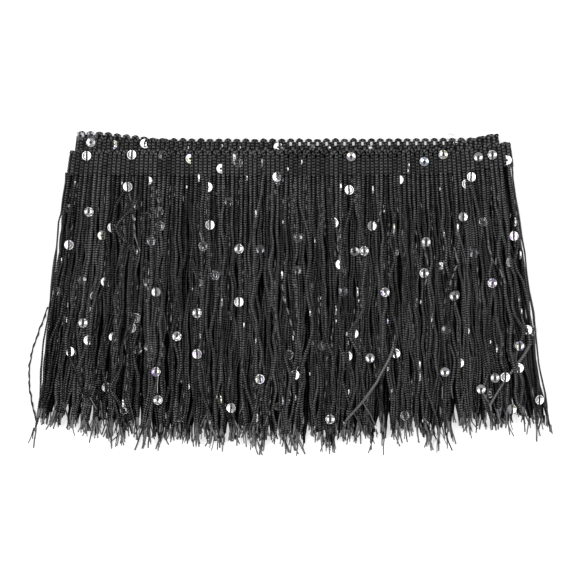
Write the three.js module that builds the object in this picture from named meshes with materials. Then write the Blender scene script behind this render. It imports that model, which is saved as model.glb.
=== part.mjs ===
// Chainette fringe trim: one yard of a looped-edge heading whose cords hang on as a fringe, folded in
// half and in half again, and laid flat. Millimetres, +Z up, the heading towards +Y, resting on z = 0.
import * as THREE from "three";

// Driving dimensions
const STRIP_LENGTH = 914.4; // the heading, from cut end to cut end
const LOOPS = 192; // loops along the heading's edge, each the turn between two ribs
const HEADING_HEIGHT = 12.7; // loop tips to the last row of stitches
const CORD_DROP = 147; // loop tips to the cut ends of the cords
const CORD_THICKNESS = 1.8; // a cord, and a rib of the heading, from face to face
const CORD_WIDTH = 1.7;
const GROOVE_THICKNESS = 1.1; // the heading between two ribs
const LAYER_PITCH = 2.2; // one folded layer to the next, middle to middle
const HALF_WIDTH = 116.8; // middle of the stack to its outermost folds
const INNER_FOLD_INSET = 6.3; // how far the inner right fold stays back from the outer one
const ROOT_GAP = 0.3; // parting between the heading and the strip that holds the cords' roots
const ROOT_HEIGHT = 2.4; // that strip, along the cords

// How far the loop edge stands back at the four sections of one loop: between two loops, on the
// loop's first rib, at its crown and on its second rib. Odd sections are ribs, even ones grooves.
const LOOP_SCALLOP = [1.5, 0.35, 0, 0.35];

// The cords and ribs fan out sideways, the more the nearer they are to the stack's ends.
const FAN_SLOPE = 0.135; // sideways run for each millimetre of drop, at HALF_WIDTH
const FAN_POWER = 2.5; // how quickly the fan dies out towards the middle

// The cords sway together in waves that grow down the fringe: how far at the cut ends, the width of
// one wave across the fringe, and the drop of one wave down it.
const SWAYS = [
  { reach: 1.3, width: 60, drop: 190 },
  { reach: 0.2, width: 14, drop: 75 },
];
const SWAY_LAG = 1.5; // between the waves of one layer and of the next, in radians
const UNEVEN_CUT = 2; // how far a cord's cut end strays from CORD_DROP

// A cord's sections, as shares of its free length and of CORD_WIDTH. The tip is drawn in.
const CORD_SECTIONS = [
  { share: 0.33, width: 1 },
  { share: 0.65, width: 1 },
  { share: 0.94, width: 0.95 },
  { share: 1, width: 0.5 },
];

// Where the heading's straight layers end and its folds begin, and where its first cut end lies.
const SKIN = CORD_THICKNESS / 2;
const OUTER_TURN = HALF_WIDTH - SKIN - 1.5 * LAYER_PITCH;
const LEFT_TURN = -(HALF_WIDTH - SKIN - 0.5 * LAYER_PITCH);
const INNER_TURN = HALF_WIDTH - INNER_FOLD_INSET - SKIN - 0.5 * LAYER_PITCH;
const BOTTOM_END = -113.5;
const LOWER_END = -112;

// The four layers from the surface upwards, and the line that each one's loop tips follow.
const LAYERS = [
  {
    name: "bottom",
    cords: 72,
    edge: [
      { x: BOTTOM_END, y: 79.6 },
      { x: -88, y: 76.2 },
      { x: -60, y: 72 },
      { x: 0, y: 71.2 },
      { x: 85, y: 71.4 },
      { x: OUTER_TURN, y: 72.6 },
    ],
  },
  {
    name: "lower",
    cords: 42,
    edge: [
      { x: LOWER_END, y: 75.6 },
      { x: 0, y: 74.7 },
      { x: 80, y: 75.2 },
      { x: 96, y: 76 },
      { x: INNER_TURN, y: 78.2 },
    ],
  },
  {
    name: "upper",
    cords: 42,
    edge: [
      { x: LEFT_TURN, y: 69 },
      { x: -60, y: 70 },
      { x: 0, y: 70.4 },
      { x: 70, y: 71.6 },
      { x: 96, y: 75.4 },
      { x: INNER_TURN, y: 78.2 },
    ],
  },
  {
    name: "top",
    cords: 96,
    edge: [
      { x: LEFT_TURN, y: 69 },
      { x: -60, y: 68.6 },
      { x: 20, y: 68.4 },
      { x: 85, y: 69.9 },
      { x: OUTER_TURN, y: 72.6 },
    ],
  },
];
LAYERS.forEach((layer, index) => Object.assign(layer, { index, z: SKIN + index * LAYER_PITCH }));

const black = { roughness: 0.85, metalness: 0 };
const headingYarn = new THREE.MeshStandardMaterial({ color: 0x262626, ...black });
const cordYarn = new THREE.MeshStandardMaterial({ color: 0x1e1e1e, ...black });

// A value from -1 to 1 that looks random and is always the same for the same number.
function scatter(n) {
  const wave = Math.sin(n * 12.9898 + 4.1414) * 43758.5453;
  return 2 * (wave - Math.floor(wave)) - 1;
}

// The height of a layer's loop tips at x, on a smooth line through its edge points and level past them.
function edgeAt({ edge }, x) {
  const last = edge.length - 1;
  if (x <= edge[0].x) return edge[0].y;
  if (x >= edge[last].x) return edge[last].y;
  const slopeAt = (i) => {
    const [before, after] = [edge[Math.max(i - 1, 0)], edge[Math.min(i + 1, last)]];
    return (after.y - before.y) / (after.x - before.x);
  };
  const i = edge.findIndex((point) => point.x > x) - 1;
  const width = edge[i + 1].x - edge[i].x;
  const t = (x - edge[i].x) / width;
  return (
    edge[i].y * (1 + 2 * t) * (1 - t) ** 2 +
    edge[i + 1].y * t * t * (3 - 2 * t) +
    width * (slopeAt(i) * t * (1 - t) ** 2 + slopeAt(i + 1) * t * t * (t - 1))
  );
}

// Where x goes to at a drop below the loop tips.
function fanned(x, drop) {
  return x + FAN_SLOPE * Math.sign(x) * Math.abs(x / HALF_WIDTH) ** FAN_POWER * drop;
}

// How far the cords of a layer have swayed at x and drop, share being how far down a cord that is.
function swayed({ index }, x, drop, share) {
  const wave = ({ reach, width, drop: length }) =>
    reach * Math.sin(2 * Math.PI * (x / width + drop / length) + SWAY_LAG * index);
  return share * SWAYS.reduce((sum, sway) => sum + wave(sway), 0);
}

// A stretch of the heading's folded line gives its length and, for a distance along it, a place, the
// direction of travel as an angle from +X towards +Z, and the height of the loop tips.
function straight(layer, from, to) {
  const angle = to > from ? 0 : Math.PI;
  const at = (s) => {
    const x = from + s * Math.cos(angle);
    return { x, z: layer.z, angle, edge: edgeAt(layer, x) };
  };
  return { length: Math.abs(to - from), at };
}

// A half turn at x from one layer to another. turn is 1 where the angle grows and -1 where it shrinks.
function halfTurn(x, from, to, turn) {
  const radius = Math.abs(to.z - from.z) / 2;
  const middle = (to.z + from.z) / 2;
  const start = to.z > from.z === turn > 0 ? 0 : Math.PI;
  const edge = edgeAt(from, x);
  const at = (s) => {
    const angle = start + (turn * s) / radius;
    const out = turn * radius;
    return { x: x + out * Math.sin(angle), z: middle - out * Math.cos(angle), angle, edge };
  };
  return { length: Math.PI * radius, at };
}

// The whole folded line: along the bottom layer, round the outer right fold, back along the top layer,
// round the left fold, along the upper layer, round the inner right fold and back along the lower layer.
function foldedLine() {
  const [bottom, lower, upper, top] = LAYERS;
  const stretches = [
    straight(bottom, BOTTOM_END, OUTER_TURN),
    halfTurn(OUTER_TURN, bottom, top, 1),
    straight(top, OUTER_TURN, LEFT_TURN),
    halfTurn(LEFT_TURN, top, upper, 1),
    straight(upper, LEFT_TURN, INNER_TURN),
    halfTurn(INNER_TURN, upper, lower, -1),
  ];
  const used = stretches.reduce((sum, stretch) => sum + stretch.length, 0);
  stretches.push(straight(lower, INNER_TURN, INNER_TURN - (STRIP_LENGTH - used)));
  return (s) => {
    let rest = s;
    const last = stretches.length - 1;
    let i = 0;
    while (i < last && rest > stretches[i].length) {
      rest -= stretches[i].length;
      i += 1;
    }
    return stretches[i].at(rest);
  };
}

// A closed mesh from points and from faces of three or four corners, counter-clockwise from outside.
function solidFrom(points, faces) {
  const index = faces.flatMap(([a, b, c, d]) => (d === undefined ? [a, b, c] : [a, b, c, a, c, d]));
  const geometry = new THREE.BufferGeometry();
  geometry.setAttribute("position", new THREE.Float32BufferAttribute(points.flat(), 3));
  geometry.setIndex(index);
  geometry.computeVertexNormals();
  return geometry;
}

// The heading: four points at each section, low and high on either face.
function headingGeometry(line) {
  const sections = LOOPS * LOOP_SCALLOP.length;
  const points = [];
  const faces = [];
  for (let k = 0; k <= sections; k++) {
    const { x, z, angle, edge } = line((k * STRIP_LENGTH) / sections);
    const half = (k % 2 === 1 ? CORD_THICKNESS : GROOVE_THICKNESS) / 2;
    const corner = (drop, side) => [
      fanned(x, drop) - side * half * Math.sin(angle),
      edge - drop,
      z + side * half * Math.cos(angle),
    ];
    const high = LOOP_SCALLOP[k % LOOP_SCALLOP.length];
    points.push(corner(HEADING_HEIGHT, 1), corner(high, 1), corner(high, -1), corner(HEADING_HEIGHT, -1));
    if (k === 0) continue;
    const [now, before] = [4 * k, 4 * (k - 1)];
    for (let i = 0; i < 4; i++) {
      const next = (i + 1) % 4;
      faces.push([before + i, now + i, now + next, before + next]);
    }
  }
  const end = 4 * sections;
  faces.push([0, 1, 2, 3], [end + 3, end + 2, end + 1, end]);
  return solidFrom(points, faces);
}

// One layer's fringe: a narrow strip under the heading, from left to right, that grows out into cords.
function fringeGeometry(layer, left, right) {
  const rootTop = HEADING_HEIGHT + ROOT_GAP;
  const rootLow = rootTop + ROOT_HEIGHT;
  const pitch = (right - left) / layer.cords;
  const points = [];
  const faces = [];

  // Adds the front and the back point at a place and drop, and gives their numbers.
  const pair = (x, drop, shift = 0) => {
    const [px, py] = [fanned(x, drop) + shift, edgeAt(layer, x) - drop];
    points.push([px, py, layer.z + SKIN], [px, py, layer.z - SKIN]);
    return [points.length - 2, points.length - 1];
  };
  // Faces between pairs: the front and back of an outline, and the wall along one of its sides.
  const panels = (...outline) => {
    faces.push(outline.map((corner) => corner[0]));
    faces.push(outline.map((corner) => corner[1]).reverse());
  };
  const wall = ([a, b], [c, d]) => faces.push([a, b, d, c]);

  let top = pair(left, rootTop);
  let low = pair(left, rootLow);
  wall(top, low);
  for (let i = 0; i < layer.cords; i++) {
    const x = left + (i + 0.5) * pitch;
    const crown = pair(x, rootTop);
    let sides = [-0.5, 0.5].map((side) => pair(x + side * CORD_WIDTH, rootLow));
    panels(top, low, sides[0], crown);
    panels(crown, sides[0], sides[1]);
    wall(crown, top);
    wall(low, sides[0]);
    [top, low] = [crown, sides[1]];

    const freeLength = CORD_DROP + UNEVEN_CUT * scatter(100 * layer.index + i) - rootLow;
    for (const { share, width } of CORD_SECTIONS) {
      const drop = rootLow + share * freeLength;
      const shift = swayed(layer, x, drop, share);
      const next = [-0.5, 0.5].map((side) => pair(x, drop, shift + side * width * CORD_WIDTH));
      panels(sides[0], next[0], next[1], sides[1]);
      wall(sides[0], next[0]);
      wall(next[1], sides[1]);
      sides = next;
    }
    wall(sides[0], sides[1]);
  }
  const [endTop, endLow] = [pair(right, rootTop), pair(right, rootLow)];
  panels(top, low, endLow, endTop);
  wall(endTop, top);
  wall(low, endLow);
  wall(endLow, endTop);
  return solidFrom(points, faces);
}

const trim = new THREE.Group();
const heading = new THREE.Mesh(headingGeometry(foldedLine()), headingYarn);
heading.name = "heading";
trim.add(heading);

// The fringes hang under their layers and reach the outsides of the folds.
const FRINGE_ENDS = {
  bottom: [BOTTOM_END, HALF_WIDTH],
  lower: [LOWER_END, INNER_TURN + 0.5 * LAYER_PITCH + SKIN],
  upper: [-HALF_WIDTH, INNER_TURN + 0.5 * LAYER_PITCH + SKIN],
  top: [-HALF_WIDTH, HALF_WIDTH],
};
for (const layer of LAYERS) {
  const fringe = new THREE.Mesh(fringeGeometry(layer, ...FRINGE_ENDS[layer.name]), cordYarn);
  fringe.name = `fringe_${layer.name}`;
  trim.add(fringe);
}

export default trim;
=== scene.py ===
"""Black chainette fringe trim with sequins, folded in half twice and laid flat: its looks in Blender.

Lengths are millimetres: +X along the heading, +Y from the cords' ends to its loops, +Z through the layers.
"""

from collections import namedtuple

import bpy
import numpy as np
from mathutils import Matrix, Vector


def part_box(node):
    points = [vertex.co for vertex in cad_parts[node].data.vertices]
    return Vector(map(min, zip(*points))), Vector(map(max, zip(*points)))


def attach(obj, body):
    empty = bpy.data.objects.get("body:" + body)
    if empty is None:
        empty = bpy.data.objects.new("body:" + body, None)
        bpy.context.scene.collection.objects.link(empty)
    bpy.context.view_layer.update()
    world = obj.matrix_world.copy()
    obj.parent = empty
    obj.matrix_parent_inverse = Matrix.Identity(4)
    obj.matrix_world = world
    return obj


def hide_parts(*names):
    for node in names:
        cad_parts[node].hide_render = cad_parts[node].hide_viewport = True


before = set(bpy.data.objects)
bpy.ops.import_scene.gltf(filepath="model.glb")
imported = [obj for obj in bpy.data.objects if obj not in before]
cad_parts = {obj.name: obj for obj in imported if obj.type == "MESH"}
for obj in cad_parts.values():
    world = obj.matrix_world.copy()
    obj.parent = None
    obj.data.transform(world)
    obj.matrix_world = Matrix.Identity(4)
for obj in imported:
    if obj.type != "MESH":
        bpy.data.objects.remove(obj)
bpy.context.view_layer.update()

MM = 0.001  # meshes are made in metres
SEED = 7

# The trim as it is cut and folded: the solids' own values
STRIP_LENGTH = 914.4
LOOPS = 192
HEADING_HEIGHT = 12.7
CORD_DROP = 147.0  # from the loop tips to the cut ends
LAYER_PITCH = 2.2
HALF_WIDTH = 116.8  # of the folded heading
INNER_FOLD_INSET = 6.3  # how far the inner right fold stays back
SKIN = 0.9  # half the heading's thickness
OUTER_TURN = HALF_WIDTH - SKIN - 1.5 * LAYER_PITCH
LEFT_TURN = -(HALF_WIDTH - SKIN - 0.5 * LAYER_PITCH)
INNER_TURN = HALF_WIDTH - INNER_FOLD_INSET - SKIN - 0.5 * LAYER_PITCH
BOTTOM_END = -113.5  # x of the two cut ends
LOWER_END = -112.0
FAN_SLOPE = 0.135  # sideways run for each millimetre of drop, at HALF_WIDTH
FAN_POWER = 2.5  # how quickly the fan dies out towards the middle
LOOP_PITCH = STRIP_LENGTH / LOOPS
CORD_PITCH = LOOP_PITCH / 2

# The line of each layer's loop tips: (x, y) from left to right, lowest layer first
EDGES = {
    "bottom": [
        (BOTTOM_END, 79.6), (-102, 79.6), (-88, 78), (-72, 76.2), (-60, 74.8), (-12, 73.2), (12, 70.8),
        (85, 70.8), (OUTER_TURN, 73.4),
    ],
    "lower": [(LOWER_END, 75.6), (-50, 75.6), (0, 75.4), (80, 75.8), (96, 76.2), (INNER_TURN, 78.2)],
    "upper": [(LEFT_TURN, 69), (-60, 70), (0, 70.2), (74, 70.6), (96, 75.4), (INNER_TURN, 78.2)],
    "top": [(LEFT_TURN, 69), (-60, 68.6), (20, 68.4), (85, 69.9), (104, 72.2), (OUTER_TURN, 73.4)],
}
LAYERS = list(EDGES)


def layer_height(name):
    """The middle of a layer's thickness, from its fringe in the frame."""
    low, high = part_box(f"fringe_{name}")
    return (low.z + high.z) / 2 / MM


HEIGHTS = {name: layer_height(name) for name in LAYERS}

# The picture: its size, the millimetres of a pixel at the top layer, and where the part's origin lies
VIEW_PIXELS, PIXEL = 576, 0.5286
ORIGIN_PX, ORIGIN_PY = 290.5, 280.0


def seen_at(px, py):
    """The part's x and y at a pixel of the picture."""
    return (px - ORIGIN_PX) * PIXEL, (ORIGIN_PY - py) * PIXEL


# --- the folded strip


def ease(t):
    """0 below 0 and 1 above 1, with a smooth step between."""
    t = np.clip(t, 0, 1)
    return t * t * (3 - 2 * t)


def edge_at(points, x):
    """y at x on a smooth line through points, level past them."""
    xs, ys = np.array(points, float).T
    if not xs[0] < x < xs[-1]:
        return ys[0 if x <= xs[0] else -1]
    i = int(np.searchsorted(xs, x, side="right")) - 1

    def slope(k):
        before, after = max(k - 1, 0), min(k + 1, len(xs) - 1)
        return (ys[after] - ys[before]) / (xs[after] - xs[before])

    width = xs[i + 1] - xs[i]
    t = (x - xs[i]) / width
    ends = ys[i] * (1 + 2 * t) * (1 - t) ** 2 + ys[i + 1] * t * t * (3 - 2 * t)
    return ends + width * (slope(i) * t * (1 - t) ** 2 + slope(i + 1) * t * t * (t - 1))


def fanned(x, drop):
    """Where x is at a drop below the loop tips, as the cords fan out."""
    return x + FAN_SLOPE * np.sign(x) * np.abs(x / HALF_WIDTH) ** FAN_POWER * drop


def straight(layer, start, end):
    """A straight stretch: its length, and x, z, angle and edge at a distance along it."""
    angle = 0.0 if end > start else np.pi

    def at(s):
        x = start + s * np.cos(angle)
        return x, HEIGHTS[layer], angle, edge_at(EDGES[layer], x)

    return abs(end - start), at


def half_turn(x, start, end, turn):
    """A half turn between two layers, whose angle grows (turn 1) or shrinks (turn -1)."""
    low, high = HEIGHTS[start], HEIGHTS[end]
    radius, middle = abs(high - low) / 2, (high + low) / 2
    first = 0.0 if (high > low) == (turn > 0) else np.pi
    edge = edge_at(EDGES[start], x)

    def at(s):
        angle = first + turn * s / radius
        return x + turn * radius * np.sin(angle), middle - turn * radius * np.cos(angle), angle, edge

    return np.pi * radius, at


def folded_line(step=0.2):
    """The folded heading, sampled: distance, x, z, edge, and cos and sin of the direction."""
    stretches = [
        straight("bottom", BOTTOM_END, OUTER_TURN),
        half_turn(OUTER_TURN, "bottom", "top", 1),
        straight("top", OUTER_TURN, LEFT_TURN),
        half_turn(LEFT_TURN, "top", "upper", 1),
        straight("upper", LEFT_TURN, INNER_TURN),
        half_turn(INNER_TURN, "upper", "lower", -1),
    ]
    left = STRIP_LENGTH - sum(length for length, _ in stretches)
    stretches.append(straight("lower", INNER_TURN, INNER_TURN - left))
    rows, done = [], 0.0
    for length, at in stretches:
        for s in np.linspace(0, length, max(int(length / step), 2)):
            x, z, angle, edge = at(s)
            rows.append((done + s, x, z, edge, np.cos(angle), np.sin(angle)))
        done += length
    return np.array(rows).T


LINE = folded_line()


def along(s):
    """x, z, edge, cos and sin at the distances s."""
    return tuple(np.interp(s, LINE[0], values) for values in LINE[1:])


def strip_points(s, drop, out=0.0):
    """Points at distances s, drops below the loop tips, and out from the middle plane."""
    x, z, edge, cos, sin = along(s)
    return np.stack([fanned(x, drop) - out * sin, edge - drop, z + out * cos], -1)


def strip_normals(s):
    """The strip's outward direction at distances s."""
    _, _, _, cos, sin = along(s)
    return np.stack([-sin, np.zeros_like(sin), cos], -1)


# --- meshes


ON_FLOOR = 0.02  # the least height of any point
UP = (0, 0, 1)


def unit(vectors):
    return vectors / np.maximum(np.linalg.norm(vectors, axis=-1, keepdims=True), 1e-9)


def distances(path):
    """How far along a path each of its points is."""
    return np.concatenate([[0], np.cumsum(np.linalg.norm(np.diff(path, axis=0), axis=1))])


def smoothed(values):
    """Each value made the mean of the five around it."""
    return np.convolve(np.pad(values, 2, "edge"), np.ones(5) / 5, "valid")


def refined(path, spacing):
    """The path again with an even spacing."""
    run = distances(path)
    at = np.linspace(0, run[-1], max(int(run[-1] / spacing), 4))
    return np.stack([np.interp(at, run, path[:, axis]) for axis in range(3)], -1)


class Shape:
    """Collects closed forms and makes one mesh of them."""

    def __init__(self):
        self.points, self.quads, self.caps = [], [], []
        self.tones, self.places = [], []
        self.count = 0

    def add(self, points, quads, caps=(), tone=1.0, places=0.0):
        """Points (n, 3), quads (m, 4) and caps of any size, with tones and places on the yarn."""
        self.points.append(points)
        self.quads.append(np.asarray(quads) + self.count)
        self.caps += [np.asarray(cap) + self.count for cap in caps]
        self.tones.append(np.broadcast_to(tone, len(points)))
        self.places.append(np.broadcast_to(places, (len(points), 2)))
        self.count += len(points)

    def tube(self, path, up, profile, width, thickness, tone=1.0, skew=0.0, lead=0.0, count=None):
        """A closed tube of a profile (k, 2), across and up, whose points lie skew further along the path.

        A point's place is how far round it is, and how many stitches down, plus lead.
        """
        path, profile = np.asarray(path, float), np.asarray(profile, float)
        n, k = len(path), len(profile)
        ahead = unit(np.gradient(path, axis=0))
        across = unit(np.cross(ahead, np.broadcast_to(up, path.shape)))
        up = np.cross(across, ahead)
        wide = np.broadcast_to(width, n)[:, None, None] * profile[None, :, 0, None]
        high = np.broadcast_to(thickness, n)[:, None, None] * profile[None, :, 1, None]
        points = path[:, None] + across[:, None] * wide + up[:, None] * high
        points += ahead[:, None] * np.broadcast_to(skew, k)[None, :, None]
        i, j = np.meshgrid(np.arange(n - 1), np.arange(k), indexing="ij")
        a, b = i * k + j, i * k + (j + 1) % k
        quads = np.stack([a, b, b + k, a + k], -1).reshape(-1, 4)
        caps = [np.arange(k)[::-1], (n - 1) * k + np.arange(k)]
        count = distances(path) if count is None else count
        around = np.broadcast_to(np.arange(k) / k, (n, k))
        places = np.stack([around, count[:, None] + np.broadcast_to(lead, k)], -1)
        self.add(points.reshape(-1, 3), quads, caps, tone, places.reshape(-1, 2))

    def object(self, name, material, smooth=True):
        """Makes the mesh object, in metres, with nothing of it below the floor."""
        mesh = bpy.data.meshes.new(name)
        points = np.concatenate(self.points) * MM
        points[:, 2] = np.maximum(points[:, 2], ON_FLOOR * MM)
        faces = np.concatenate(self.quads).tolist() + [cap.tolist() for cap in self.caps]
        mesh.from_pydata(points.tolist(), [], faces)
        tone = mesh.attributes.new("tone", "FLOAT", "POINT")
        tone.data.foreach_set("value", np.concatenate(self.tones))
        place = mesh.attributes.new("place", "FLOAT2", "POINT")
        place.data.foreach_set("vector", np.concatenate(self.places).ravel())
        mesh.validate()
        mesh.polygons.foreach_set("use_smooth", [smooth] * len(mesh.polygons))
        mesh.materials.append(material)
        made = bpy.data.objects.new(name, mesh)
        bpy.context.scene.collection.objects.link(made)
        return made


def ngon(sides, turn=0.0):
    """A regular profile of radius 1, counter-clockwise."""
    angles = 2 * np.pi * (np.arange(sides) + turn) / sides
    return np.stack([np.cos(angles), np.sin(angles)], -1)


# A chainette's section, across and up: two wales with a groove between, and a plain back
CHAINETTE = np.array([(1, 0.1), (0.58, 0.9), (0, 0.35), (-0.58, 0.9), (-1, 0.1), (0, -0.9)])
CHEVRON = np.array([-0.42, 0.0, 0.38, 0.0, -0.42, 0.0])  # how far each point leads, in stitches


def waves(rng, count, shortest, longest):
    """A smooth random function of distance, about -1 to 1: a few sine waves."""
    lengths = rng.uniform(shortest, longest, count)
    phases = rng.uniform(0, 2 * np.pi, count)
    sizes = rng.uniform(0.4, 1, count)
    sizes /= sizes.sum()

    def curve(d):
        d = np.asarray(d, float)[..., None]
        return (sizes * np.sin(2 * np.pi * d / lengths + phases)).sum(-1)

    return curve


# --- materials

# Scales of the noise in yarn and foil
FIBRES, MOTTLES, TINTS, RIPPLES = 1500, 700, 420, 900


class Recipe:
    """A new material and ways to add to it. Values go to sockets by name, with _ for a space."""

    def __init__(self, name, **values):
        self.material = bpy.data.materials.new(name)
        self.material.use_nodes = True
        self.shader = self.material.node_tree.nodes["Principled BSDF"]
        self.fill(self.shader, values)

    def feed(self, socket, value):
        if isinstance(value, bpy.types.NodeSocket):
            self.material.node_tree.links.new(value, socket)
        else:
            socket.default_value = value

    def fill(self, node, values):
        for name, value in values.items():
            self.feed(node.inputs[name.replace("_", " ")], value)

    def add(self, kind, **values):
        node = self.material.node_tree.nodes.new("ShaderNode" + kind)
        self.fill(node, values)
        return node

    def math(self, operation, a, b=0.0):
        node = self.add("Math")
        node.operation = operation
        self.feed(node.inputs[0], a)
        self.feed(node.inputs[1], b)
        return node.outputs[0]

    def attribute(self, name, output="Fac"):
        node = self.add("Attribute")
        node.attribute_name = name
        return node.outputs[output]

    def noise(self, scale, detail=2):
        where = self.add("TexCoord").outputs["Object"]
        return self.add("TexNoise", Vector=where, Scale=scale, Detail=detail).outputs["Fac"]

    def ramp(self, value, positions, colours, interpolation="LINEAR"):
        node = self.add("ValToRGB", Fac=value)
        node.color_ramp.interpolation = interpolation
        elements = node.color_ramp.elements
        for number, (position, colour) in enumerate(zip(positions, colours)):
            element = elements[number] if number < 2 else elements.new(position)
            element.position = position
            element.color = (*colour, 1)
        return node.outputs["Color"]

    def finish(self, colour, height, strength, distance):
        """The material, with its colour and with bumps of that height."""
        bump = self.add("Bump", Height=height, Strength=strength, Distance=distance * MM)
        self.fill(self.shader, {"Base Color": colour, "Normal": bump.outputs["Normal"]})
        return self.material


def yarn(name, dark, light, stitches=0.0, wales=0.0, roughness=0.5, specular=0.05):
    """Black yarn, mottled by its fibres, and darker between stitches and wales by those shares: painted
    shade in the crevices and painted highlights on the crests.
    """
    made = Recipe(name, Roughness=roughness, Specular_IOR_Level=specular)

    def times(a, b):
        return made.math("MULTIPLY", a, b)

    def ridges(turns, depth):
        """1 on the ridges of a wave, and 1 - depth between them."""
        wave = made.math("COSINE", times(turns, 2 * np.pi))
        return made.math("ADD", times(wave, depth / 2), 1 - depth / 2)

    parts = made.add("SeparateXYZ", Vector=made.attribute("place", "Vector")).outputs
    # painted shade across a cord: lighter on its wales, darker in the groove and at the edges
    across = ridges(made.math("ADD", times(parts["X"], 3), 0.5), wales)
    fibres, mottles = (made.math("ADD", made.noise(*noise), 0.5) for noise in ((FIBRES, 1), (MOTTLES, 2)))
    # painted shade between stitches and painted highlights on their crests; the same pattern makes the bumps
    bumps_and_painted_shade = times(times(ridges(parts["Y"], stitches), across), fibres)
    shade = times(bumps_and_painted_shade, times(made.attribute("tone"), mottles))
    colour = made.ramp(shade, (0.35, 1), [(dark, dark, dark), (light, light, light * 1.02)])
    return made.finish(colour, bumps_and_painted_shade, 0.8, 0.2)


def foil(name, tints, roughness=0.18, alpha=1.0):
    """Sequin foil: clouds of its tints, times the sequin's tone, and ripples that break its shine."""
    made = Recipe(name, Metallic=0.75, Roughness=roughness, Alpha=alpha)
    tint = made.ramp(made.noise(TINTS), np.linspace(0.3, 0.7, len(tints)), tints, "EASE")
    scaled = made.add("VectorMath")
    scaled.operation = "SCALE"
    made.fill(scaled, {"Vector": tint, "Scale": made.attribute("tone")})
    return made.finish(scaled.outputs["Vector"], made.noise(RIPPLES), 0.2, 0.1)


# the rib and cord yarns' stitch and wale shares paint shade into their crevices and highlights onto their
# crests
RIB_YARN = yarn("rib_yarn", 0.003, 0.2, 0.6, 0.35)
# near black: painted shade on the ground, which lies down between the ribs
SHADED_GROUND_YARN = yarn("shaded_ground_yarn", 0.002, 0.014)
STITCH_YARN = yarn("stitch_yarn", 0.004, 0.05)
CORD_YARN = yarn("cord_yarn", 0.0005, 0.26, 0.85, 0.5)
SEWING_THREAD = yarn("sewing_thread", 0.015, 0.26, roughness=0.4, specular=0.3)
FRAYED_YARN = yarn("frayed_yarn", 0.012, 0.24)
FOILS = {
    "silver": foil("sequin_silver", [(0.72, 0.72, 0.74), (0.92, 0.92, 0.93)]),
    "lilac": foil("sequin_lilac", [(0.55, 0.42, 0.78), (0.9, 0.88, 0.93), (0.8, 0.78, 0.6)]),
    "straw": foil("sequin_straw", [(0.78, 0.74, 0.52), (0.93, 0.92, 0.88), (0.62, 0.6, 0.8)]),
    "blue": foil("sequin_blue", [(0.3, 0.55, 0.78), (0.85, 0.9, 0.93), (0.66, 0.55, 0.85)]),
    "clear": foil("sequin_clear", [(0.5, 0.5, 0.55), (0.8, 0.8, 0.82)], 0.12, 0.2),
}


# --- the heading

RIB_HALF_WIDTH = 0.86
RIB_HALF_THICKNESS = 0.85
RIB_STITCH = 1.6  # one knitted bump along a rib
RIB_BUMP = 0.09  # how much it swells there, as a share
ROOT_DROP = 13.2  # where a rib ends, inside the cord that carries on from it
CROWN_DROP = 2.2  # where a rib turns over into the next one
# How far a loop's crown stands above that, by how much this varies, and its lean
CROWN_RISE, CROWN_STRAY, CROWN_LEAN = 1.32, 0.3, 0.25
ROWS = (4.3, 5.9, 7.55, 9.2, 10.8, 12.45)  # drops of the stitched rows
ROW_REACH, ROW_PINCH = 0.45, 0.1  # of a rib by a row
# A row's yarn: how far out it lies, its waves out and down, and its radius
ROW_OUT, ROW_WEAVE, ROW_SWING, ROW_RADIUS = 0.5, 0.2, 0.28, 0.22
EYELET_DROP = 3.0  # where a loop's ribs part round a small hole
EYELET_REACH, EYELET_BOW, EYELET_PINCH = 0.8, 0.25, 0.14
OPEN_EYELETS = (284, 446)  # the pixels across between which the ground is open there
GROUND_HALF_THICKNESS = 0.25
GROUND_BAR = 0.62  # half the width of the ground at a rib
GROUND_LINES = (0.9, 2.1, 4.0, 7.0, 9.9, HEADING_HEIGHT)  # drops at which it is divided


def bell(distance, reach):
    """1 at no distance, and next to nothing at twice the reach."""
    return np.exp(-((distance / reach) ** 2))


def heading_ribs(rng):
    """All the loops: each comes up as a rib, turns over and goes down as a rib."""
    shape = Shape()
    drops = np.linspace(ROOT_DROP, CROWN_DROP, 22)
    turn = np.linspace(0, np.pi, 9)[1:-1]
    bow = EYELET_BOW * bell(drops - EYELET_DROP, EYELET_REACH)
    for k in range(LOOPS):
        middle = (k + 0.5) * LOOP_PITCH
        rise = CROWN_RISE + rng.uniform(-CROWN_STRAY, CROWN_STRAY)
        lean = rng.uniform(-CROWN_LEAN, CROWN_LEAN)
        s_up = middle - CORD_PITCH / 2 - bow
        s_over = middle - CORD_PITCH / 2 * np.cos(turn) + lean * np.sin(turn)
        s = np.concatenate([s_up, s_over, 2 * middle - s_up[::-1]])
        s = np.clip(s, 0.3, STRIP_LENGTH - 0.3)
        drop = np.concatenate([drops, CROWN_DROP - rise * np.sin(turn), drops[::-1]])
        bump = RIB_BUMP * np.cos(2 * np.pi * drop / RIB_STITCH)
        pinch = ROW_PINCH * sum(bell(drop - row, ROW_REACH) for row in ROWS)
        size = 1 + bump - pinch - EYELET_PINCH * bell(drop - EYELET_DROP, EYELET_REACH)
        path = strip_points(s, drop)
        width, thickness = RIB_HALF_WIDTH * size, RIB_HALF_THICKNESS * size
        tone, count = rng.uniform(0.85, 1.2), distances(path) / RIB_STITCH
        shape.tube(path, strip_normals(s), ngon(6, 0.5), width, thickness, tone, count=count)
    return shape.object("heading_ribs", RIB_YARN)


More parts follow.
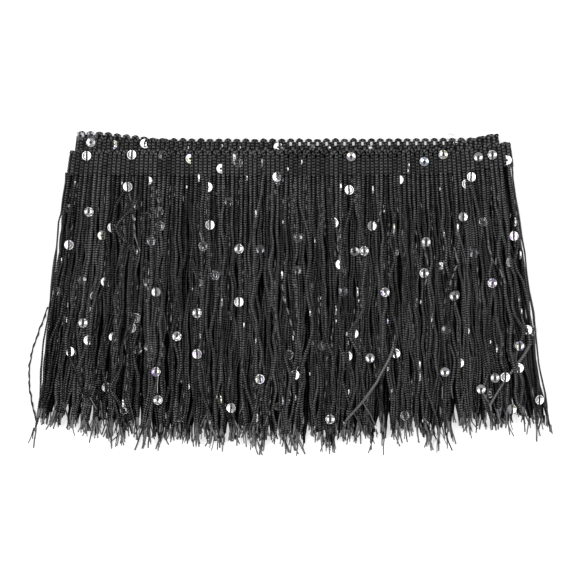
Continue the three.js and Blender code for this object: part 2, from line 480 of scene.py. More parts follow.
def heading_ground():
    """The knitted ground between the ribs: a thin folded band, open below some crowns, painted near black as
    shade.
    """
    centres = (np.arange(2 * LOOPS) + 0.5) * CORD_PITCH
    columns = np.sort(np.concatenate([centres - GROUND_BAR, centres + GROUND_BAR]))
    columns[0], columns[-1] = 0.0, STRIP_LENGTH
    s, drop = np.meshgrid(columns, GROUND_LINES, indexing="ij")
    faces = [strip_points(s, drop, side * GROUND_HALF_THICKNESS) for side in (1, -1)]

    solid = np.ones((len(columns) - 1, len(GROUND_LINES) - 1), bool)
    middles = along((columns[1:] + columns[:-1]) / 2)[0]
    first, last = (seen_at(pixel, 0)[0] for pixel in OPEN_EYELETS)
    in_loop = np.arange(len(middles)) % 4 == 1  # between the two ribs of a loop
    solid[in_loop & (middles > first) & (middles < last), 1] = False
    solid[3::4, 0] = False  # the dip between the crowns of two loops
    quads = []
    for i, j in zip(*np.nonzero(solid)):
        around = (i, j), (i, j + 1), (i + 1, j + 1), (i + 1, j)
        upper = [(a * len(GROUND_LINES) + b) * 2 for a, b in around]
        quads.append(upper)
        quads.append([upper[k] + 1 for k in (0, 3, 2, 1)])
        for k, (a, b) in enumerate(((i - 1, j), (i, j + 1), (i + 1, j), (i, j - 1))):
            inside = 0 <= a < solid.shape[0] and 0 <= b < solid.shape[1]
            if not (inside and solid[a, b]):
                start, end = upper[k], upper[(k + 1) % 4]
                quads.append([start, start + 1, end + 1, end])
    shape = Shape()
    # its low tone adds to the painted shade between the ribs
    shape.add(np.stack(faces, 2).reshape(-1, 3), quads, tone=0.7)
    return shape.object("heading_ground", SHADED_GROUND_YARN, smooth=False)


def heading_stitches(rng):
    """The thin yarn of the stitched rows, over the ribs and into the grooves, on both faces."""
    shape = Shape()
    s = np.arange(0.4, STRIP_LENGTH - 0.4, CORD_PITCH / 3)
    for row in ROWS:
        for side in (1, -1):
            out = side * (ROW_OUT + ROW_WEAVE * np.cos(2 * np.pi * (s / CORD_PITCH - 0.5)))
            drop = row + ROW_SWING * np.sin(np.pi * s / CORD_PITCH) * side
            tones = np.repeat(1 + 0.2 * waves(rng, 6, 3, 40)(s), 3)
            path, up = strip_points(s, drop, out), strip_normals(s)
            shape.tube(path, up, ngon(3, 0.25), ROW_RADIUS, ROW_RADIUS, tones)
    return shape.object("heading_stitches", STITCH_YARN)


# --- the cords

Cord = namedtuple("Cord", "x z edge cos sin")
CORD_HALF_WIDTH = 1.05
HIDDEN_HALF_WIDTH = 1.28  # of the cords under others, which are pressed flat
CORD_HALF_THICKNESS = 0.6
STITCH = 1.25  # one stitch of a cord
CORD_TOP = 12.2  # where a hanging cord starts, inside its rib

# A layer's painted shade (how much darker its cords are made where they lie under others), and how far they
# shift sideways, wander, weave up and down, and rise
Hang = namedtuple("Hang", "shade stagger loose mixed rise")
HANGS = {
    "bottom": Hang(1, 0, 0.1, 0.2, 0),
    "lower": Hang(0.6, 1.2, 0.35, 0.5, 0.2),
    "upper": Hang(0.85, 0.6, 0.8, 0.8, 0.3),
    "top": Hang(1, 0, 1.0, 0.7, -0.3),
}
BUNCHES = (1, 2, 2, 3, 3, 4)  # how many cords hang together
BUNCH_STRAY = 0.7
PULL = (0.1, 0.4)  # how far a cord is drawn to its bunch, as a share
# A cord's own waves: shortest and longest length, and reach
LONG_WAVES, SHORT_WAVES, CRIMP = (60, 170, 2.6), (18, 45, 1.2), (5, 12, 0.2)
SWAYS = ((1.3, 60.0, 190.0), (0.2, 14.0, 75.0))  # reach, width and drop of shared waves
SWAY_LAG = 1.5
SPREAD = (1.2, 0.8)  # how much further out the outermost cords hang, left and right
ALTERNATE = 0.25  # how far up and down neighbours lie in turn
# The share of cords that wander over others, how far they go and rise, and how far out they start
WANDERERS, WANDER, WANDER_RISE, WANDER_LIMIT = 0.25, (2, 5.5), 1.0, 95
SETTLED = 0.22  # how much lower the stack is at its cut ends, as a share
# Where the ends of all layers gather, by which share, and over which length
CLUMPS = np.cumsum(np.random.default_rng(3).uniform(4.5, 10, 40)) - 142
CLUMPED, CLUMP_LENGTH = 0.34, 16
# Where the cords are cut: (x, y) from left to right
CUT_LINE = [
    (-138, -69), (-122, -72), (-106, -76), (-98, -75), (-74, -79.5), (-43, -80), (15, -81), (42, -80),
    (58, -77), (74, -79), (84, -74), (100, -73), (116, -71), (135, -73),
]
CUT_STRAY, CUT_SWING = 1.8, 6
CUT_WAVES = waves(np.random.default_rng(11), 6, 7, 30)  # of the cut line, in all layers
LOWEST_CUT, LOWEST_YARN = -88.5, -94.5  # y

# Routes of single cords over the others: pixels, downwards
LEANING = [
    [(378, 380), (368, 396), (352, 414), (343, 424)], [(357, 385), (348, 412)], [(200, 388), (212, 422)],
    [(214, 391), (223, 412)], [(427, 390), (438, 422)], [(488, 240), (492, 262)], [(498, 255), (505, 282)],
    [(456, 240), (448, 285)], [(482, 393), (486, 408)], [(72, 358), (80, 385), (96, 408)],
    [(62, 312), (50, 342)], [(130, 182), (116, 205)], [(352, 205), (344, 232)], [(320, 262), (326, 290)],
    [(246, 388), (254, 412)], [(300, 205), (308, 232)], [(180, 300), (172, 330)], [(262, 190), (255, 225)],
]
PALE = [
    [(392, 345), (386, 362), (377, 382), (364, 400), (346, 420)],
    [(529, 345), (524, 355), (513, 370), (500, 388), (490, 405)],
]
PALER = 3.2  # the tone of the pale ones
ROUTE_RISE, PALE_RISE = 1.1, 1.8  # how far they rise
# The outermost two cords of the top layer on each side, with white slits between them
LEFT_EDGE = [
    (65.5, 180), (61, 212), (58.2, 222), (56.6, 242), (53.5, 265), (50.5, 290), (47.5, 310), (42.5, 332),
    (40, 358), (39.5, 380), (38.5, 395), (36, 408), (33, 420), (30.5, 431),
]
LEFT_SECOND = [
    (68.3, 180), (65.8, 196), (63.8, 212), (62.4, 222), (61, 242), (57.8, 265), (54.8, 290), (51, 310),
    (47, 332), (44.6, 358), (43.2, 385), (41.5, 400), (39, 418),
]
RIGHT_EDGE = [
    (513, 178), (518, 212), (521, 232), (525, 252), (527, 272), (530, 292), (534, 312), (536, 332),
    (539, 362), (541, 372), (543.5, 382), (546, 392), (547.5, 404), (548.5, 420),
]
RIGHT_SECOND = [
    (509.5, 178), (514.5, 212), (518, 232), (521.6, 252), (523.2, 270), (525.8, 290), (529.5, 312),
    (533, 332), (536, 362), (537.5, 375), (539, 390), (541, 412),
]
EDGE_FADE, ROUTE_FADE = 20, 14  # the length over which a cord comes to its route
LAST_FEET = {"lower": (544.5, 416), "upper": (549, 418)}  # where their last cords end
# The cords over a half hidden sequin: how far past its middle, how far apart, over which length
COVER_OFFSET, COVER_PITCH, COVER_REACH = 0.5, 1.9, 8


def cords_of(layer):
    """The cords of a layer, from left to right."""
    middles = (np.arange(2 * LOOPS) + 0.5) * CORD_PITCH
    cords = [Cord(*(float(value) for value in along(s))) for s in middles]
    return sorted(cord for cord in cords if abs(cord.z - HEIGHTS[layer]) < LAYER_PITCH / 2)


def bunch_middles(rng, xs):
    """For each cord, the middle of the bunch that it hangs in."""
    middles = np.array(xs, float)
    i = 0
    while i < len(xs):
        size = int(rng.choice(BUNCHES))
        middles[i : i + size] = np.mean(xs[i : i + size]) + rng.normal(0, BUNCH_STRAY)
        i += size
    return middles


def shared_sway(index, x, drop):
    """The sway that neighbouring cords share, as in the solids."""
    return sum(
        reach * np.sin(2 * np.pi * (x / width + drop / length) + SWAY_LAG * index)
        for reach, width, length in SWAYS
    )


def clumped(x):
    """How far the end of a cord at x is drawn towards the nearest clump."""
    nearest = CLUMPS[np.argmin(np.abs(CLUMPS - x))]
    return CLUMPED * (nearest - x)


def cord_paths(layer, rng):
    """The path of each cord of a layer, and its outward direction."""
    index, hang = LAYERS.index(layer), HANGS[layer]
    cords = cords_of(layer)
    xs = [cord.x for cord in cords]
    high, low = bunch_middles(rng, xs), bunch_middles(rng, xs)

    def wave(drop, shortest, longest, reach):
        return waves(rng, 3, shortest, longest)(drop) * reach

    paths = []
    for i, cord in enumerate(cords):
        end = fanned(cord.x, CORD_DROP)
        cut = cord.edge - np.interp(end, *zip(*CUT_LINE)) + CUT_SWING * CUT_WAVES(end)
        cut = min(cut + rng.normal(0, CUT_STRAY), cord.edge - LOWEST_CUT)
        drop = np.linspace(CORD_TOP + rng.uniform(-0.5, 0.5), cut, 90)
        share = (drop - CORD_TOP) / (CORD_DROP - CORD_TOP)
        held = ease(share / 0.2) * (1 - 0.6 * ease((share - 0.4) / 0.4))
        shift = (high[i] - cord.x) * hang.loose * rng.uniform(*PULL) * held
        shift += (low[i] - cord.x) * hang.loose * rng.uniform(*PULL) * ease((share - 0.35) / 0.4)
        shift += wave(drop, *LONG_WAVES) * hang.loose * ease(share * 1.1)
        shift += wave(drop, *SHORT_WAVES) * hang.loose * ease(share * 3)
        shift += wave(drop, *CRIMP) * ease(share * 4)
        shift += shared_sway(index, cord.x, drop) * share
        further = SPREAD[int(cord.x > 0)] * np.sign(cord.x) * abs(cord.x / HALF_WIDTH) ** 5
        shift += further * ease(share * 1.8)
        shift += clumped(fanned(cord.x, cut)) * ease((drop - cut + CLUMP_LENGTH) / CLUMP_LENGTH)
        shift += hang.stagger * ease(share * 2)
        lift = hang.rise + wave(drop, 35, 110, hang.mixed) + (ALTERNATE if i % 2 else -ALTERNATE)
        if hang.loose > 0.5 and abs(cord.x) < WANDER_LIMIT and rng.uniform() < WANDERERS:
            start, length = rng.uniform(0.05, 0.7), rng.uniform(0.2, 0.6)
            shift += rng.choice((-1, 1)) * rng.uniform(*WANDER) * ease((share - start) / length)
            lift += WANDER_RISE * ease((share - start) / length * 2)
        z = (cord.z + lift * ease(share * 4)) * (1 - SETTLED * ease(share))
        z = np.maximum(z, CORD_HALF_THICKNESS + 0.05)
        path = np.stack([fanned(cord.x, drop) + shift, cord.edge - drop, z], -1)
        paths.append((path, np.array([-cord.sin, 0.0, cord.cos], float)))
    return paths


def x_at(path, y):
    """Where a path crosses a height of the picture."""
    return np.interp(-y, -path[:, 1], path[:, 0])


def follow(path, route, fade):
    """Lays a path along a route of pixels, and keeps its last shift from there down."""
    xs, ys = np.array([seen_at(*pixel) for pixel in route]).T
    kept = path[:, 0] + xs[-1] - x_at(path, ys[-1])
    wanted = np.where(path[:, 1] > ys[-1], np.interp(-path[:, 1], -ys, xs), kept)
    path[:, 0] += (wanted - path[:, 0]) * ease((ys[0] + fade - path[:, 1]) / fade)


def lay_edges(paths):
    """Takes the outermost cords along the picture's edges, the very last ones on edge."""
    for layer, foot in LAST_FEET.items():
        follow(paths[layer][-1][0], RIGHT_SECOND[:-2] + [foot], EDGE_FADE)
    top = paths["top"]
    for i, route in ((0, LEFT_EDGE), (1, LEFT_SECOND), (-2, RIGHT_SECOND), (-1, RIGHT_EDGE)):
        follow(top[i][0], route, EDGE_FADE)
    for i, route in ((0, LEFT_EDGE), (-1, RIGHT_EDGE)):
        path, up = top[i]
        path[:, 1] += (seen_at(*route[-1])[1] - path[-1, 1]) * ease((30 - path[:, 1]) / 100)
        path[:, 2] = np.maximum(path[:, 2], CORD_HALF_WIDTH)
        up[:] = unit(np.array([np.sign(i + 0.5), 0, 0.3]))


def lay_routes(paths):
    """Takes a cord along each route. Gives the y below which each pale one is pale."""
    free = list(range(2, len(paths) - 2))
    pale = {}
    for route in LEANING + PALE:
        x, y = seen_at(*route[0])
        nearest = min(free, key=lambda i: abs(x_at(paths[i][0], y) - x))
        free.remove(nearest)
        path = paths[nearest][0]
        follow(path, route, ROUTE_FADE)
        path[:, 2] += (PALE_RISE if route in PALE else ROUTE_RISE) * ease((y + 10 - path[:, 1]) / 10)
        if route in PALE:
            pale[nearest] = y
    return pale


def cover_sequins(paths, half_hidden):
    """Lays two cords over the far side, -1 or 1, of each sequin that shows by half."""
    for (x, y, z), side in half_hidden:
        if y > edge_at(EDGES["top"], x) - HEADING_HEIGHT - 3:
            continue
        middle = x + side * COVER_OFFSET
        at = np.array([x_at(path, y) for path, _ in paths])
        nearest = int(np.argmin(np.abs(at - middle)))
        for step in (0, side):
            path = paths[nearest + step][0]
            near = bell(path[:, 1] - y, COVER_REACH)
            path[:, 0] += (middle + step * COVER_PITCH - at[nearest + step]) * near
            path[:, 2] += np.maximum(z + 0.3 - path[:, 2], 0) * near


def twisted(up, path, most, rng):
    """The up direction along a path, as the cord turns to and fro about its own line."""
    share = np.linspace(0, 1, len(path))
    angle = waves(rng, 3, 0.25, 0.8)(share) * most * ease(share * 5)
    across = unit(np.cross(np.gradient(path, axis=0), up))
    return np.cos(angle)[:, None] * up + np.sin(angle)[:, None] * across


def add_cord(shape, path, up, tone, rng, stitched, pale_below=None):
    """A chainette, pale below some y. A stitched one has wide and narrow sections in turn, in chevrons."""
    stitch = STITCH * rng.uniform(0.94, 1.06)
    fine = refined(path, stitch / 2 if stitched else 2.0)
    run = np.linalg.norm(fine[1] - fine[0]) * np.arange(len(fine))
    crest = np.arange(len(fine)) % 2 == 0 if stitched else np.full(len(fine), True)
    grow = (0.8 + 0.2 * ease(run / 4)) * (1 - 0.45 * ease((run - run[-1] + 7) / 7))
    if stitched:
        half_width = CORD_HALF_WIDTH * rng.uniform(0.9, 1.08)
        skew, lead, count, most = CHEVRON * stitch, 0.0, run / run[2], 1.7
    else:
        half_width = HIDDEN_HALF_WIDTH * (1 + 0.25 * ease((np.abs(fine[:, 0]) - 70) / 50))
        skew, lead, count, most = 0.0, rng.uniform() - CHEVRON, run / stitch, 0.8
    width = half_width * np.where(crest, 1.0, 0.8) * grow
    thickness = CORD_HALF_THICKNESS * np.where(crest, 1.0, 0.66) * (1.3 - 0.3 * ease(run / 4))
    ups = twisted(up, fine, most, rng)
    if pale_below is not None:
        pale = ease((pale_below + 4 - fine[:, 1]) / 12)
        width = width * (1 - 0.25 * pale)
        tone = np.repeat(tone + (PALER - tone) * pale, len(CHAINETTE))
    shape.tube(fine, ups, CHAINETTE, width, thickness, tone, skew, lead, count)


def hang_cords(layer, paths, pale, rng):
    """A layer's hanging cords, as pieces."""
    # the lower and upper layers' cords made darker by their painted shade
    tones = rng.uniform(0.75, 1.2, len(paths)) * HANGS[layer].shade
    top, count = layer == "top", len(paths)
    parts = {f"cords_{layer}": (0, count)}
    if top:
        parts = {"cords_top_left": (0, count // 2), "cords_top_right": (count // 2, count)}
    pieces = []
    for name, part in parts.items():
        shape = Shape()
        for i in range(*part):
            add_cord(shape, *paths[i], tones[i], rng, top, pale.get(i) if top else None)
        pieces.append(shape.object(name, CORD_YARN))
    return pieces


LOOSE_ENDS, LOOSE_YARN, SHORT_YARN = 0.3, (5.5, 11.5), (3, 5.5)  # the share of loose ends, lengths
END_RADIUS, END_TONES = (0.38, 0.6), (0.4, 1.6)
SPLIT_ENDS, SPLIT_YARN, SPLIT_RADIUS = 0.5, (6, 12.5), (0.25, 0.4)  # of yarns from further up a top cord


def add_yarn_end(shape, start, angle, length, radius, curl, rng):
    """One blunt yarn of a cut end, at an angle from straight down."""
    length = min(length, start[1] - LOWEST_YARN)
    t = np.linspace(0, 1, 7)
    turned = angle + rng.normal(0, 0.12) * t
    turned += curl * np.sin(t * length * rng.uniform(0.5, 1.1) + rng.uniform(0, 6))
    step = length * np.diff(t, prepend=0)
    x = start[0] + np.cumsum(np.sin(turned) * step)
    y = start[1] - np.cumsum(np.cos(turned) * step)
    z = np.maximum(start[2] + rng.normal(0, 0.6) * t, radius)
    width = radius * (1 - 0.12 * t)
    shape.tube(np.stack([x, y, z], -1), UP, ngon(4, 0.5), width, width, rng.uniform(*END_TONES))


def frayed_ends(paths, rng):
    """The cut ends: some cords come apart into a few yarns, and others show short tips."""
    shape = Shape()
    for layer in LAYERS:
        for path, _ in paths[layer]:
            across, down, _ = path[-1] - path[-5]
            angle = 0.7 * np.arctan2(across, -down)
            loose = rng.uniform() < LOOSE_ENDS
            for _ in range(rng.integers(1, 5)):
                start = path[-1] + [rng.uniform(-0.6, 0.6), 1.5, rng.uniform(-0.2, 0.2)]
                turned = angle + rng.normal(0, 0.2 if loose else 0.12)
                length = rng.uniform(*(LOOSE_YARN if loose else SHORT_YARN))
                add_yarn_end(shape, start, turned, length, rng.uniform(*END_RADIUS), 0.05, rng)
            if layer == "top" and rng.uniform() < SPLIT_ENDS:
                start = path[-rng.integers(3, 12)] + [rng.uniform(-0.8, 0.8), 0, CORD_HALF_THICKNESS]
                turned = angle + rng.normal(0, 0.3)
                length, radius = rng.uniform(*SPLIT_YARN), rng.uniform(*SPLIT_RADIUS)
                add_yarn_end(shape, start, turned, length, radius, 0.1, rng)
    return shape.object("frayed_ends", FRAYED_YARN)


# --- the upper face, and the thread on it


class Surface:
    """The upper face of the trim: its height, and the grooves between its cords."""

    def __init__(self, top, below):
        self.ys = np.arange(60.0, -90.0, -1.0)
        self.all_xs, self.all_zs = (self.rows_of(top + below, axis) for axis in (0, 2))
        self.xs, self.zs = self.all_xs[: len(top)], self.all_zs[: len(top)]

    def rows_of(self, paths, axis):
        """x or z of every path at each y."""
        up = [path[::-1] for path, _ in paths]
        return np.array([np.interp(self.ys, path[:, 1], path[:, axis], left=np.nan) for path in up])

    def row(self, y):
        return int(np.clip(self.ys[0] - y, 0, len(self.ys) - 1))

    def height(self, x, y, reach):
        """The height of the cords within reach of a place, or of what lies there instead."""
        if y > edge_at(EDGES["top"], x):
            return HEIGHTS["lower"] + RIB_HALF_THICKNESS
        if y > edge_at(EDGES["top"], x) - HEADING_HEIGHT:
            return HEIGHTS["top"] + RIB_HALF_THICKNESS
        row = self.row(y)
        near = np.abs(self.all_xs[:, row] - x) < reach
        if near.any():
            return np.max(self.all_zs[near, row]) + CORD_HALF_THICKNESS
        between = np.nanmin(self.all_xs[:, row]) < x < np.nanmax(self.all_xs[:, row])
        return HEIGHTS["lower"] if between else 0.0

    def groove(self, x, y, length):
        """A line of that length down the groove between two cords near a place."""
        rows = slice(self.row(y + length / 2), self.row(y - length / 2) + 1)
        gaps = (self.xs[1:, self.row(y)] + self.xs[:-1, self.row(y)]) / 2
        i = int(np.nanargmin(np.abs(gaps - x)))
        middle = (self.xs[i, rows] + self.xs[i + 1, rows]) / 2
        height = np.maximum(self.zs[i, rows], self.zs[i + 1, rows])
        line = np.stack([middle, self.ys[rows], height], -1)
        return line[~np.isnan(line).any(1)]


THREAD_RADIUS, THREAD_LENGTHS, LOOSE_THREADS = 0.28, (6, 24), 210
LONG_BAR = 0.4  # from this half width on, a bar runs both ways
# Threads that lie across the cords: pixels, radius and tone
STRANDS = [
    ([(48, 306), (42, 318), (36, 334), (30, 351), (27, 368), (27, 385), (29, 400), (32, 413), (35, 422)],
     0.45, 0.2),
    ([(129, 191), (131, 204), (134, 222), (136, 240), (140, 252)], 0.32, 0.7),
    ([(157, 196), (160, 206), (157, 214), (161, 222)], 0.3, 0.8),
    ([(384, 205), (380, 214), (378, 222)], 0.3, 0.8),
    ([(282, 282), (284, 298), (288, 312), (291, 322), (294, 336)], 0.32, 0.7),
    ([(454, 247), (458, 262), (452, 278), (448, 290)], 0.32, 0.9),
    ([(487, 240), (491, 258), (499, 268), (505, 284)], 0.3, 0.8),
    ([(483, 393), (488, 402), (494, 416), (500, 424)], 0.34, 1.2),
    ([(198, 226), (202, 240), (200, 256)], 0.28, 0.7),
    ([(340, 228), (337, 246), (341, 262)], 0.28, 0.7),
    ([(421, 240), (428, 262), (425, 290)], 0.28, 0.6),
]


def add_bar(shape, centre, bar, rng):
    """The thread of that half width that crosses a sequin's face."""
    above, below = rng.uniform(3, 9, 2)
    first, last = ((-1, 1), (-1, 0), (0, 1))[rng.integers(3) if bar < LONG_BAR else 0]
    t = np.linspace(first, last, 13)
    drop = np.where(t < 0, t * above, t * below)
    sideways = 0.7 * waves(rng, 2, 0.8, 2.0)(t) * np.abs(t)
    sink = 1.5 * ease((np.abs(drop) - 2.6) / 2.5)
    x, y, z = centre
    path = np.stack([x + sideways, y - drop, z + 0.35 - sink], -1)
    shape.tube(path, UP, ngon(5), bar, bar * 0.7, rng.uniform(0, 0.15))


def add_loose_thread(shape, surface, rng):
    """A stretch of thread in the groove between two cords, with painted glints along it."""
    x, y = rng.uniform(-120, 122), rng.uniform(-68, 48)
    line = surface.groove(x, y, rng.uniform(*THREAD_LENGTHS))
    if len(line) < THREAD_LENGTHS[0]:
        return
    line[:, 0] += 0.5 * waves(rng, 4, 4, 22)(line[:, 1])
    line[:, 2] += 0.1 + 0.6 * waves(rng, 2, 5, 16)(line[:, 1])
    taper = np.sqrt(np.sin(np.pi * np.linspace(0.03, 0.97, len(line))))
    radius = THREAD_RADIUS * rng.uniform(0.8, 1.2) * taper
    # short light dashes along the thread: painted glints
    tone = np.clip(0.2 + 1.8 * waves(rng, 2, 3, 8)(line[:, 1]), 0, 1.4)
    shape.tube(line, UP, ngon(4), radius, radius * 0.7, np.repeat(tone, 4))


def add_strand(shape, surface, route, radius, tone, rng):
    """A thread across the cords along a route, thicker where it is lighter."""
    run = np.linspace(0, 1, 40)
    places = np.array([seen_at(*pixel) for pixel in route]).T
    x, y = (smoothed(np.interp(run, np.linspace(0, 1, len(route)), values)) for values in places)
    z = smoothed([max(surface.height(a, b, 1.5), radius) + 0.1 for a, b in zip(x, y)])
    x += 0.4 * waves(rng, 4, 3, 12)(y)
    swell = waves(rng, 3, 3, 7)(y)
    tones = np.repeat(1.5 * tone * np.clip(0.8 + 1.2 * swell, 0.1, 1.5), 5)
    width = radius * (1.1 + 0.5 * swell)
    shape.tube(np.stack([x, y, z], -1), UP, ngon(5), width, radius, tones)


def sewing_threads(surface, places, rng):
    """The thread over each sequin, and other stretches of it."""
    shape = Shape()
    for centre, bar in places:
        add_bar(shape, centre, bar, rng)
    for _ in range(LOOSE_THREADS):
        add_loose_thread(shape, surface, rng)
    for strand in STRANDS:
        add_strand(shape, surface, *strand, rng)
    return shape.object("sewing_threads", SEWING_THREAD)


# --- sequins

SEQUIN_RADIUS = 2.45
SEQUIN_RINGS = ((0.65, 0.0), (1.0, 0.04), (1.6, 0.24), (2.2, 0.56), (SEQUIN_RADIUS, 0.58))  # radius, height
FLUTES, FLUTE_DEPTH, FLUTED_FROM = 8, 0.1, 1.5
SEQUIN_THICKNESS, SEQUIN_SIDES = 0.08, 16
HIDDEN_SEQUINS = 30  # deep between the cords
# The low tones of these hidden sequins are painted shade, deep between the cords
HIDDEN_DEPTHS, HIDDEN_TILTS, HIDDEN_SHADED_TONES = (1.5, 2.3), (10, 35), (0.15, 0.5)
UNDER_SEQUINS, UNDER_HEIGHT = 60, 0.75  # on the side that lies on the floor

# How a sequin lies: its tilt, how deep in the cords, the ways it may lean (any, where none is given), how
# far its middle is moved that way, its size, how hollow it is, the radius over which it is folded (0 for
# none), and the half width of the thread over it. Angles are in degrees.
Lie = namedtuple("Lie", "tilt depth leans aside size cup fold bar", defaults=((), 0, 1.0, 1.0, 0, 0))
LIES = {
    "full": Lie(7, -0.4, bar=0.34),
    "bright": Lie(15, -0.5, (0, 180), cup=0.4, bar=0.42),
    "barred": Lie(7, -0.4, bar=0.5),
    "left": Lie(22, 0.3, (0,), 1.1, cup=0.3),
    "right": Lie(22, 0.3, (180,), 1.1, cup=0.3),
    "sliver": Lie(10, -0.35, (0, 180), cup=0, fold=0.6),
    "short": Lie(10, -0.1, (0, 180), size=0.55, cup=0, fold=0.42),
    "dot": Lie(10, -0.1, (0, 180), size=0.34, cup=0, fold=0.42),
    "sunk": Lie(14, 0.6, cup=0.8, bar=0.2),
    "crushed": Lie(20, -0.1, size=0.95, cup=0.5, fold=1.2),
    "under": Lie(180, 0),
}
FOLD_ASIDE = 1.1  # how far from its hole a sequin is folded
# How far to the side cords carry a folded sequin, one on top, and any other
FOLDED_REACH, TOP_REACH, OTHER_REACH = 0.8, 2.8, 2.0

# Where sequins show, by how they lie and by foil: pixels
SEQUINS = {
    "bright silver": [
        (90, 142), (87, 156), (132, 155), (128, 187), (210, 225), (239, 302), (156, 292), (231, 408),
        (540, 400), (505, 377), (349, 190), (471, 177), (372, 226), (463, 217),
    ],
    "bright lilac": [(69, 245), (197, 354), (512, 409), (514, 236)],
    "full silver": [
        (364, 251), (478, 157), (492, 155), (454, 296), (177, 336), (158, 400), (481, 389), (239, 249),
    ],
    "barred silver": [(426, 242), (424, 273), (197, 313), (330, 419), (83, 323)],
    "full lilac": [(351, 157), (492, 283), (385, 292), (370, 358), (156, 372), (495, 378)],
    "barred lilac": [(520, 346)],
    "full straw": [(89, 212), (443, 155), (445, 372), (260, 379)],
    "full blue": [(424, 162)],
    "left silver": [
        (142, 143), (110, 228), (92, 296), (111, 337), (104, 387), (464, 184), (508, 262), (219, 169),
        (275, 177), (276, 147), (338, 264), (103, 282),
    ],
    "left straw": [(188, 159), (100, 235), (86, 340)],
    "right silver": [
        (72, 352), (134, 328), (210, 187), (462, 363), (521, 368), (350, 356), (356, 334), (398, 353),
        (401, 180), (336, 222), (530, 330), (297, 375), (458, 146),
    ],
    "right straw": [(509, 160)],
    "crushed lilac": [(115, 144), (371, 149), (313, 148)],
    "sliver silver": [
        (157, 190), (199, 178), (256, 214), (262, 163), (282, 275), (222, 302), (336, 310), (341, 187),
        (373, 190), (452, 350), (498, 349), (500, 189), (283, 401), (257, 418), (348, 291), (351, 255),
        (458, 228), (521, 255), (516, 222), (520, 392), (118, 360), (420, 365), (420, 377), (123, 404),
    ],
    "sliver straw": [(221, 400), (358, 292), (394, 228)],
    "short silver": [
        (75, 183), (137, 252), (61, 260), (69, 259), (200, 336), (261, 277), (244, 325), (256, 341),
        (310, 313), (340, 236), (348, 343), (349, 392), (289, 402), (296, 398), (444, 234), (469, 331),
        (466, 309), (432, 320), (67, 305), (66, 320), (189, 387), (306, 213), (308, 226), (506, 273),
        (512, 215), (247, 178), (302, 162), (336, 221), (270, 281), (293, 338), (522, 311), (193, 200),
    ],
    "short lilac": [(120, 179), (388, 321), (388, 369), (90, 309)],
    "dot silver": [
        (188, 147), (197, 150), (122, 183), (187, 187), (207, 190), (135, 219), (288, 169), (335, 219),
        (408, 171), (409, 165), (384, 211), (389, 213), (440, 189), (240, 147), (222, 145), (198, 226),
        (193, 280), (192, 289), (257, 309), (285, 300), (316, 302), (321, 298), (321, 304), (283, 222),
        (417, 300), (421, 302), (519, 300), (336, 321), (347, 334), (310, 374), (338, 381), (140, 395),
        (107, 409), (101, 406), (68, 407), (221, 399), (217, 397), (344, 423), (423, 421), (428, 423),
        (491, 342), (495, 340), (392, 391), (349, 262), (359, 301),
    ],
    "dot straw": [(441, 214), (315, 241), (82, 286)],
    "sunk clear": [
        (79, 135), (91, 134), (452, 136), (163, 155), (151, 241), (160, 226), (203, 246), (148, 283),
        (107, 283), (229, 202), (238, 163), (260, 249), (215, 275), (297, 270), (298, 238), (343, 292),
        (289, 355), (229, 316), (82, 280), (136, 318), (137, 350), (148, 347), (474, 253), (483, 222),
        (446, 330), (405, 416), (124, 410), (279, 180), (159, 211), (180, 418), (534, 331),
    ],
    "crushed clear": [
        (58, 291), (407, 199), (407, 207), (397, 252), (92, 433), (437, 439), (500, 412),
    ],
    "crushed silver": [(442, 266), (201, 283), (150, 181), (395, 312), (329, 149), (234, 158)],
}


def add_sequin(shape, centre, lie, toward, spin, tone):
    """A cup sequin with its hole, folded over a line down the picture and tilted."""
    angles = 2 * np.pi * np.arange(SEQUIN_SIDES) / SEQUIN_SIDES + spin
    rings = []
    for radius, height in SEQUIN_RINGS:
        flute = 1 + FLUTE_DEPTH * np.cos(FLUTES * angles) * (radius > FLUTED_FROM)
        ring = radius * np.cos(angles), radius * np.sin(angles), lie.cup * height * flute
        rings.append(np.stack(ring, -1))
    front = np.stack(rings) * lie.size
    back = front[::-1] - [0, 0, SEQUIN_THICKNESS]
    points = np.concatenate([front, back]).reshape(-1, 3)
    if lie.fold:
        across = points[:, 0] - FOLD_ASIDE * lie.size
        turn = np.clip(across / lie.fold, -1.7, 1.7)
        radius = lie.fold + points[:, 2]
        spare = np.abs(across) - np.abs(turn) * lie.fold
        height = radius * np.cos(turn) - lie.fold - spare
        points = np.stack([radius * np.sin(turn), points[:, 1], height], -1)
    i, j = np.meshgrid(np.arange(2 * len(SEQUIN_RINGS)), np.arange(SEQUIN_SIDES), indexing="ij")
    after, beside = (i + 1) % len(i), (j + 1) % SEQUIN_SIDES
    corners = (i, j), (after, j), (after, beside), (i, beside)
    quads = np.stack([ring * SEQUIN_SIDES + side for ring, side in corners], -1).reshape(-1, 4)
    lean = np.radians(lie.tilt)
    axis = np.array([-np.sin(toward), np.cos(toward), 0.0])
    turned = points * np.cos(lean) + np.cross(axis, points) * np.sin(lean)
    turned += np.outer(points @ axis, axis) * (1 - np.cos(lean))
    shape.add(turned + centre, quads, tone=tone)


